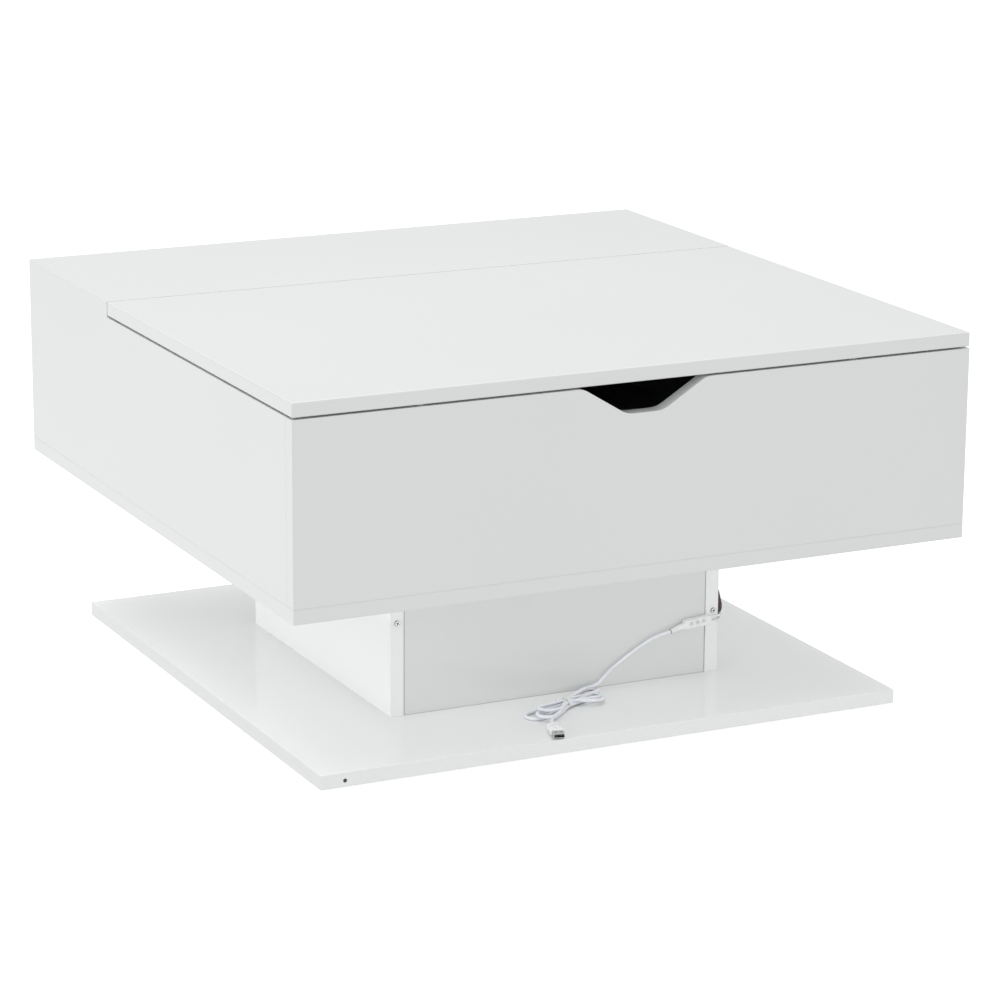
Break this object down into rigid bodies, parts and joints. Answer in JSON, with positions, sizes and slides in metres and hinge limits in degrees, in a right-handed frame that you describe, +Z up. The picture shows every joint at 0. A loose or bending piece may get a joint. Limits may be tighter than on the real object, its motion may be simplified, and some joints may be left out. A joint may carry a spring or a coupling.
{
  "type": "lift top coffee table",
  "caption": "Square gloss white coffee table on a recessed box pedestal. The front of the top lifts and swings forward on a parallel arm linkage with gas struts over a storage box.",
  "frame": {"origin": "centre of the square footprint, on the floor, under the glides", "axes": "+X to the right, +Y to the back where the top is fixed, +Z up; the finger scoop is on the -Y side"},
  "size_m": [0.8, 0.8, 0.434],
  "materials": {
    "white_gloss": "high gloss white lacquered board, edges banded to match",
    "glide_plastic": "moulded, fine texture",
    "dark_screw": "blackened",
    "zinc_screw": "bright zinc plate",
    "cam_zinc": "die cast, dull",
    "beech": "fluted, bare",
    "clear_rubber": "soft, translucent",
    "bracket_steel": "grey powder coat, satin",
    "strut_black": "black paint, satin",
    "rod_chrome": "polished",
    "led_tape": "white flexible tape",
    "white_pvc": "soft, satin",
    "white_plastic": "moulded, satin gloss",
    "button_plastic": "moulded, satin",
    "black_plastic": "moulded, glossy",
    "dark_red_lens": "dark red infrared filter, polished",
    "plug_steel": "nickel plated"
  },
  "bodies": {
    "root": {"back_panel": "white_gloss", "base_board": "white_gloss", "base_bracket_screws": "zinc_screw", "base_edge_screw": "dark_screw", "base_glides": "glide_plastic", "base_pivot_rivets": "zinc_screw", "bottom_board": "white_gloss", "cam_bolts": "zinc_screw", "cam_locks": "cam_zinc", "carcass_screws": "zinc_screw", "controller_body": "white_plastic", "front_panel": "white_gloss", "lead_clips": "white_plastic", "led_strip": "led_tape", "left_base_bracket": "bracket_steel", "left_side_panel": "white_gloss", "lid_bumpers": "clear_rubber", "pedestal_back_panel": "white_gloss", "pedestal_edge_screws": "zinc_screw", "pedestal_front_panel": "white_gloss", "pedestal_left_panel": "white_gloss", "pedestal_right_panel": "white_gloss", "rear_rail": "white_gloss", "rear_top_panel": "white_gloss", "receiver_housing": "black_plastic", "receiver_lead": "white_pvc", "receiver_lens": "dark_red_lens", "right_base_bracket": "bracket_steel", "right_side_panel": "white_gloss", "strip_lead": "white_pvc", "strut_base_studs": "zinc_screw", "usb_cord_hank": "white_pvc", "usb_cord_lead": "white_pvc", "usb_cord_tail": "white_pvc", "usb_cord_tie": "white_pvc", "usb_plug_body": "white_plastic", "usb_plug_shell": "plug_steel", "usb_plug_tongue": "black_plastic", "wood_dowels": "beech"},
    "lid": {"lid_panel": "white_gloss", "left_lid_bracket": "bracket_steel", "right_lid_bracket": "bracket_steel", "lid_bracket_screws": "zinc_screw", "lid_pivot_rivets": "zinc_screw"},
    "left_front_arm_body": {"left_front_arm": "bracket_steel", "left_arm_stud": "zinc_screw"},
    "left_rear_arm_body": {"left_rear_arm": "bracket_steel"},
    "right_front_arm_body": {"right_front_arm": "bracket_steel", "right_arm_stud": "zinc_screw"},
    "right_rear_arm_body": {"right_rear_arm": "bracket_steel"},
    "left_cylinder": {"left_strut_cylinder": "strut_black"},
    "right_cylinder": {"right_strut_cylinder": "strut_black"},
    "left_rod": {"left_strut_rod": "rod_chrome"},
    "right_rod": {"right_strut_rod": "rod_chrome"},
    "power_key": {"power_button": "button_plastic"},
    "colour_key": {"colour_button": "button_plastic"},
    "mode_key": {"mode_button": "button_plastic"}
  },
  "joints": [
    {"name": "lid_lift", "type": "hinge", "parent": "root", "child": "left_front_arm_body", "pos_m": [-0.3785, -0.20105, 0.35185], "axis": [1, 0, 0], "range_deg": [0, 95]},
    {"name": "lid_level", "type": "hinge", "parent": "left_front_arm_body", "child": "lid", "pos_m": [-0.3785, 0.055, 0.397], "axis": [1, 0, 0], "range_deg": [-95, 0]},
    {"name": "left_rear_arm_swing", "type": "hinge", "parent": "root", "child": "left_rear_arm_body", "pos_m": [-0.3785, -0.14105, 0.32185], "axis": [1, 0, 0], "range_deg": [0, 95]},
    {"name": "right_front_arm_swing", "type": "hinge", "parent": "root", "child": "right_front_arm_body", "pos_m": [0.3785, -0.20105, 0.35185], "axis": [1, 0, 0], "range_deg": [0, 95]},
    {"name": "right_rear_arm_swing", "type": "hinge", "parent": "root", "child": "right_rear_arm_body", "pos_m": [0.3785, -0.14105, 0.32185], "axis": [1, 0, 0], "range_deg": [0, 95]},
    {"name": "left_strut_foot", "type": "hinge", "parent": "root", "child": "left_cylinder", "pos_m": [-0.361, -0.17001, 0.236], "axis": [1, 0, 0], "range_deg": [0, 47.5]},
    {"name": "right_strut_foot", "type": "hinge", "parent": "root", "child": "right_cylinder", "pos_m": [0.361, -0.17001, 0.236], "axis": [1, 0, 0], "range_deg": [0, 47.5]},
    {"name": "left_strut_head", "type": "hinge", "parent": "left_front_arm_body", "child": "left_rod", "pos_m": [-0.361, -0.08293, 0.37268], "axis": [1, 0, 0], "range_deg": [-47.5, 0]},
    {"name": "right_strut_head", "type": "hinge", "parent": "right_front_arm_body", "child": "right_rod", "pos_m": [0.361, -0.08293, 0.37268], "axis": [1, 0, 0], "range_deg": [-47.5, 0]},
    {"name": "power_press", "type": "slide", "parent": "root", "child": "power_key", "axis": [0, 1, 0], "range_m": [0, 0.0005], "stiffness_N_per_m": 400},
    {"name": "colour_press", "type": "slide", "parent": "root", "child": "colour_key", "axis": [0, 1, 0], "range_m": [0, 0.0005], "stiffness_N_per_m": 400},
    {"name": "mode_press", "type": "slide", "parent": "root", "child": "mode_key", "axis": [0, 1, 0], "range_m": [0, 0.0005], "stiffness_N_per_m": 400}
  ],
  "couplings": [
    {"joint": "lid_level", "follows": "lid_lift", "ratio": -1},
    {"joint": "left_rear_arm_swing", "follows": "lid_lift", "ratio": 1},
    {"joint": "right_front_arm_swing", "follows": "lid_lift", "ratio": 1},
    {"joint": "right_rear_arm_swing", "follows": "lid_lift", "ratio": 1},
    {"joint": "left_strut_foot", "follows": "lid_lift", "ratio": 0.5},
    {"joint": "right_strut_foot", "follows": "lid_lift", "ratio": 0.5},
    {"joint": "left_strut_head", "follows": "lid_lift", "ratio": -0.5},
    {"joint": "right_strut_head", "follows": "lid_lift", "ratio": -0.5}
  ]
}
